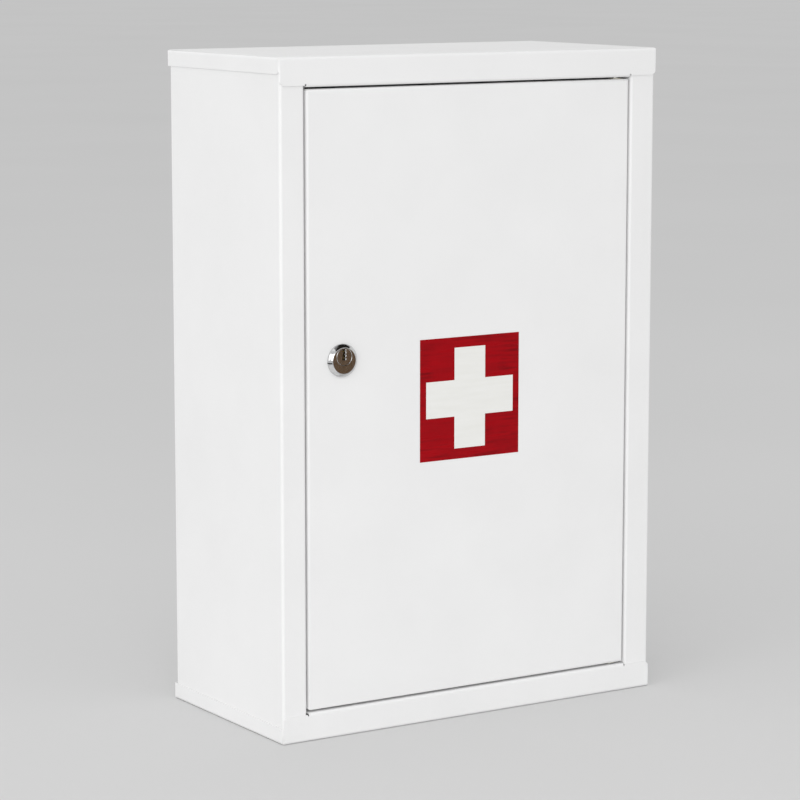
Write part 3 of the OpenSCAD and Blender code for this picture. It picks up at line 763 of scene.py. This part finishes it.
def shelf_screws():
    """Eight zinc-plated screws, one in each corner of the two shelves."""
    low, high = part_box("shelf_screws")
    first = pan_screw("shelf_screw_1", SHELF_SCREW_HEAD_H, shank_r=1.9, length=6.0, pitch=0.7)
    reach = SCREW_HEAD_R * MM
    places = [Vector((x, y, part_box(shelf)[1].z + COAT * MM))
              for shelf in ("lower_shelf", "upper_shelf")
              for x in (low.x + reach, high.x - reach)
              for y in (low.y + reach, high.y - reach)]
    repeated(first, "shelf_screw", places, "shelf_screws")


def cam_screw():
    """The screw that holds the cam on the plug's square end, its head to the rear."""
    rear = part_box("cam_screw")[1].y
    screw = pan_screw("cam_clamp_screw", CAM_SCREW_HEAD_H, shank_r=1.5, length=5.0, pitch=0.5)
    screw.rotation_euler = (-math.pi / 2, 0, 0)
    screw.location = (PLUG_AT.x, rear - CAM_SCREW_HEAD_H * MM, PLUG_AT.z)
    only(screw)
    bpy.ops.object.transform_apply(location=True, rotation=True, scale=True)
    stand(screw, "cam_screw")


def wafer_coils():
    """Five fine coil springs, one beside each wafer."""
    low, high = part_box("wafer_springs")
    # The wire's and the coil's radius, in mm, come first.
    wire, coil_r, turns, steps_a_turn = 0.09, 0.35, 8, 12
    tall = (high.z - low.z) / MM - 2 * wire
    bpy.ops.object.select_all(action="DESELECT")
    bpy.ops.mesh.primitive_circle_add(vertices=6, radius=wire * MM, rotation=(math.pi / 2, 0, 0),
                                      location=(coil_r * MM, 0, wire * MM))
    coil = fresh("wafer_coil_1")
    modified(coil, "SCREW", angle=TURN * turns, screw_offset=tall * MM, iterations=1, axis="Z",
             steps=steps_a_turn * turns, render_steps=steps_a_turn * turns,
             use_merge_vertices=False)
    edit(coil, "EDGE")
    bpy.ops.mesh.select_non_manifold()
    bpy.ops.mesh.fill_holes(sides=0)
    faced_out()
    bpy.ops.object.shade_smooth()
    first_y = low.y + 0.45 * MM
    places = [Vector(((low.x + high.x) / 2, first_y + i * WAFER_PITCH * MM, low.z))
              for i in range(WAFERS)]
    repeated(coil, "wafer_coil", places, "wafer_springs")


def buffers():
    """Two rubber buffers: a soft crowned pad in front of the flange, held by a barb behind it."""
    pad_r = 3.5
    low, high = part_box("door_buffers")
    x = (low.x + high.x) / 2
    long = (high.y - low.y) / MM
    profile = [
        (0, 0), (1.6, 0.03), *arc((2.6, 0.9), 0.9, -90, 0, 5), (pad_r, 2.4), (3.3, 2.65),
        (1.5, 2.65), (1.5, 3.55), (1.9, 3.6), (1.8, 3.75), (1.1, long), (0, long),
    ]
    first = spun("door_buffer_1", profile, (x, low.y, low.z + pad_r * MM), "Y", steps=32)
    smooth(first, degrees=40)
    rise = high.z - low.z - 2 * pad_r * MM
    stand(copied(first, "door_buffer_2", (0, 0, rise)), "door_buffers")
    stand(first, "door_buffers")


# ---------- The sign ----------

def sign():
    """Red film with a white cross let into it, both laid on the door."""
    cross_w, cross_h, arm = 69.8 * MM, 68.3 * MM, 24.7 * MM
    low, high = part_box("first_aid_sign")
    centre = (low + high) / 2
    bpy.ops.object.select_all(action="DESELECT")
    bpy.ops.mesh.primitive_plane_add(size=1, location=centre, rotation=(math.pi / 2, 0, 0))
    field = fresh("red_film_field")
    edit(field)
    bpy.ops.mesh.select_all(action="SELECT")
    bpy.ops.transform.resize(value=(high.x - low.x, 1, high.z - low.z),
                             center_override=tuple(centre))
    for wide, normal in ((cross_w, (1, 0, 0)), (arm, (1, 0, 0)),
                         (cross_h, (0, 0, 1)), (arm, (0, 0, 1))):
        for side in (-1, 1):
            bpy.ops.mesh.select_all(action="SELECT")
            bpy.ops.mesh.bisect(plane_co=centre + Vector(normal) * wide / 2 * side,
                                plane_no=normal)
    bpy.ops.mesh.select_all(action="DESELECT")

    def in_cross(face):
        off = face.calc_center_median() - centre
        across, up = 2 * abs(off.x), 2 * abs(off.z)
        return (across < cross_w and up < arm) or (across < arm and up < cross_h)

    pick(field, "faces", in_cross)
    bpy.ops.mesh.separate(type="SELECTED")
    close()
    cross = next(o for o in bpy.context.selected_objects if o != field)
    cross.name = "white_film_cross"
    for film in (field, cross):
        edit(film)
        bpy.ops.mesh.select_all(action="SELECT")
        bpy.ops.mesh.dissolve_limited(angle_limit=math.radians(1))
        faced_out()
        modified(film, "SOLIDIFY", thickness=high.y - low.y, offset=0)
    stand(field, "first_aid_sign")
    dressed(cross, white_film())
    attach(cross, "door")


lock_housing()
lock_core()
hex_nut()
shelf_screws()
cam_screw()
wafer_coils()
buffers()
sign()


# ---------- Studio ----------

def pale_floor():
    """Pale grey studio floor, rolled matt paint. Nearly even, with soft clouds where the roller
    overlapped."""
    material, tree, place = begun("pale_floor_paint")
    clouds = add(tree, "TexNoise", {"Vector": place, "Scale": waves(700), "Detail": 3})
    overlap = add(tree, "MapRange", {"Value": clouds, **SPREAD})
    grey = add(tree, "Mix", {"data_type": "RGBA", 0: overlap,
                             6: linear("#D7D7D7"), 7: linear("#D9D9D9")})
    stipple = add(tree, "TexNoise", {"Vector": place, "Scale": waves(4), "Detail": 2})
    rolled = add(tree, "Bump", {"Height": stipple, "Distance": 0.05 * MM})
    return finished(material, {"Roughness": 1, "Specular IOR Level": 0,
                               "Base Color": grey.outputs[2], "Normal": rolled})


def brown_board():
    """Brown board laid in front, which only mirror-like finishes see. It gives the chrome its
    dark face."""
    material, tree, place = begun("brown_board")
    along = add(tree, "Mapping", {"Vector": place, "Rotation": (0, 0, 0.5),
                                  "Scale": waves(48, 8, 8)})
    grain = add(tree, "TexNoise", {"Vector": along, "Scale": 1, "Detail": 4})
    grained = add(tree, "MapRange", {"Value": grain, **SPREAD})
    brown = add(tree, "Mix", {"data_type": "RGBA", 0: grained,
                              6: linear("#65410A"), 7: linear("#704C0E")})
    return finished(material, {"Roughness": 0.8, "Base Color": brown.outputs[2]})


def white_board():
    """White board laid at the cabinet's foot, which only mirror-like finishes see. It lights the
    chrome rim from below."""
    material, tree, place = begun("white_board")
    clouds = add(tree, "TexNoise", {"Vector": place, "Scale": waves(40), "Detail": 3})
    clouded = add(tree, "MapRange", {"Value": clouds, **SPREAD})
    white = add(tree, "Mix", {"data_type": "RGBA", 0: clouded,
                              6: linear("#F4F4F4"), 7: linear("#F8F8F8")})
    return finished(material, {"Roughness": 0.8, "Base Color": white.outputs[2]})


def dark_cloth():
    """Dark cloth hung overhead, which only mirror-like finishes see. It darkens the top of the
    chrome rim, as a studio's unlit ceiling does."""
    material, tree, place = begun("dark_ceiling_cloth")
    folds = add(tree, "TexNoise", {"Vector": place, "Scale": waves(300), "Detail": 3})
    faded = add(tree, "MapRange", {"Value": folds, **SPREAD})
    dark = add(tree, "Mix", {"data_type": "RGBA", 0: faded,
                             6: linear("#26211E"), 7: linear("#302A26")})
    return finished(material, {"Roughness": 1, "Base Color": dark.outputs[2]})


# Sheets of the studio: name, width in m, place in m, finish.
SHEETS = (
    ("floor", 80, (0, 0, 0), pale_floor),
    ("brown_card", 1.5, (1.05, -1.6, 0.002), brown_board),
    ("white_card", 0.5, (-0.3, -0.36, 0.002), white_board),
    ("ceiling_cloth", 6.5, (2.0, -0.6, 3.4), dark_cloth),
)
# Lamps: name, place in m, what they look at, width in m, power in W, spread in degrees.
LAMPS = (
    ("left_softbox", (-2.8, -1.0, 1.0), (-0.4, -0.15, 0), 2.0, 4.3, 90),
    ("front_softbox", (-1.9, -3.0, 1.0), (-0.3, -0.5, 0), 2.0, 7.7, 90),
    ("top_softbox", (-1.0, -0.9, 2.8), (0, 0, 0.2), 1.8, 3.0, 180),
)
WORLD_COLOUR = "#FFFFFF"
WORLD_STRENGTH = 0.8
# The camera's place in m, and how far it looks down and is turned round, in degrees.
CAMERA_AT = (-1.1211, -1.7469, 0.5304)
CAMERA_DOWN = 8.838
CAMERA_ROUND = -32.430
FOCAL_MM = 136.344
SENSOR_MM = 36


def softbox(name, at, aim, size, power, spread):
    """A square lamp that looks at a point. A narrow spread keeps it off the floor at its foot."""
    data = bpy.data.lights.new(name, "AREA")
    data.shape = "SQUARE"
    data.size = size
    data.energy = power
    data.spread = math.radians(spread)
    lamp = bpy.data.objects.new(name, data)
    bpy.context.scene.collection.objects.link(lamp)
    lamp.location = at
    lamp.rotation_mode = "QUATERNION"
    lamp.rotation_quaternion = (Vector(at) - Vector(aim)).to_track_quat("Z", "Y")


def studio():
    """The floor, the boards and the cloth that only reflections see, the world and the lamps."""
    for name, size, at, finish in SHEETS:
        bpy.ops.object.select_all(action="DESELECT")
        bpy.ops.mesh.primitive_plane_add(size=size, location=at)
        piece = dressed(fresh(name), finish())
        if name != "floor":
            piece.visible_camera = piece.visible_diffuse = False
            piece.visible_shadow = piece.visible_transmission = False

    world = bpy.data.worlds.new("soft_studio")
    bpy.context.scene.world = world
    world.use_nodes = True
    background = world.node_tree.nodes["Background"]
    background.inputs["Color"].default_value = linear(WORLD_COLOUR)
    background.inputs["Strength"].default_value = WORLD_STRENGTH
    for lamp in LAMPS:
        softbox(*lamp)


def camera():
    """The camera, which looks down at the cabinet from its left front."""
    data = bpy.data.cameras.new("camera")
    data.sensor_width = SENSOR_MM
    data.lens = FOCAL_MM
    data.clip_start, data.clip_end = 0.05, 200
    view = bpy.data.objects.new("camera", data)
    bpy.context.scene.collection.objects.link(view)
    view.location = CAMERA_AT
    view.rotation_euler = (math.radians(90 - CAMERA_DOWN), 0, math.radians(CAMERA_ROUND))
    bpy.context.scene.camera = view


for node, obj in frame["nodes"].items():
    obj.data.materials[0] = FINISH[SLOT[node]]
studio()
camera()
bpy.context.scene.view_settings.view_transform = "Standard"
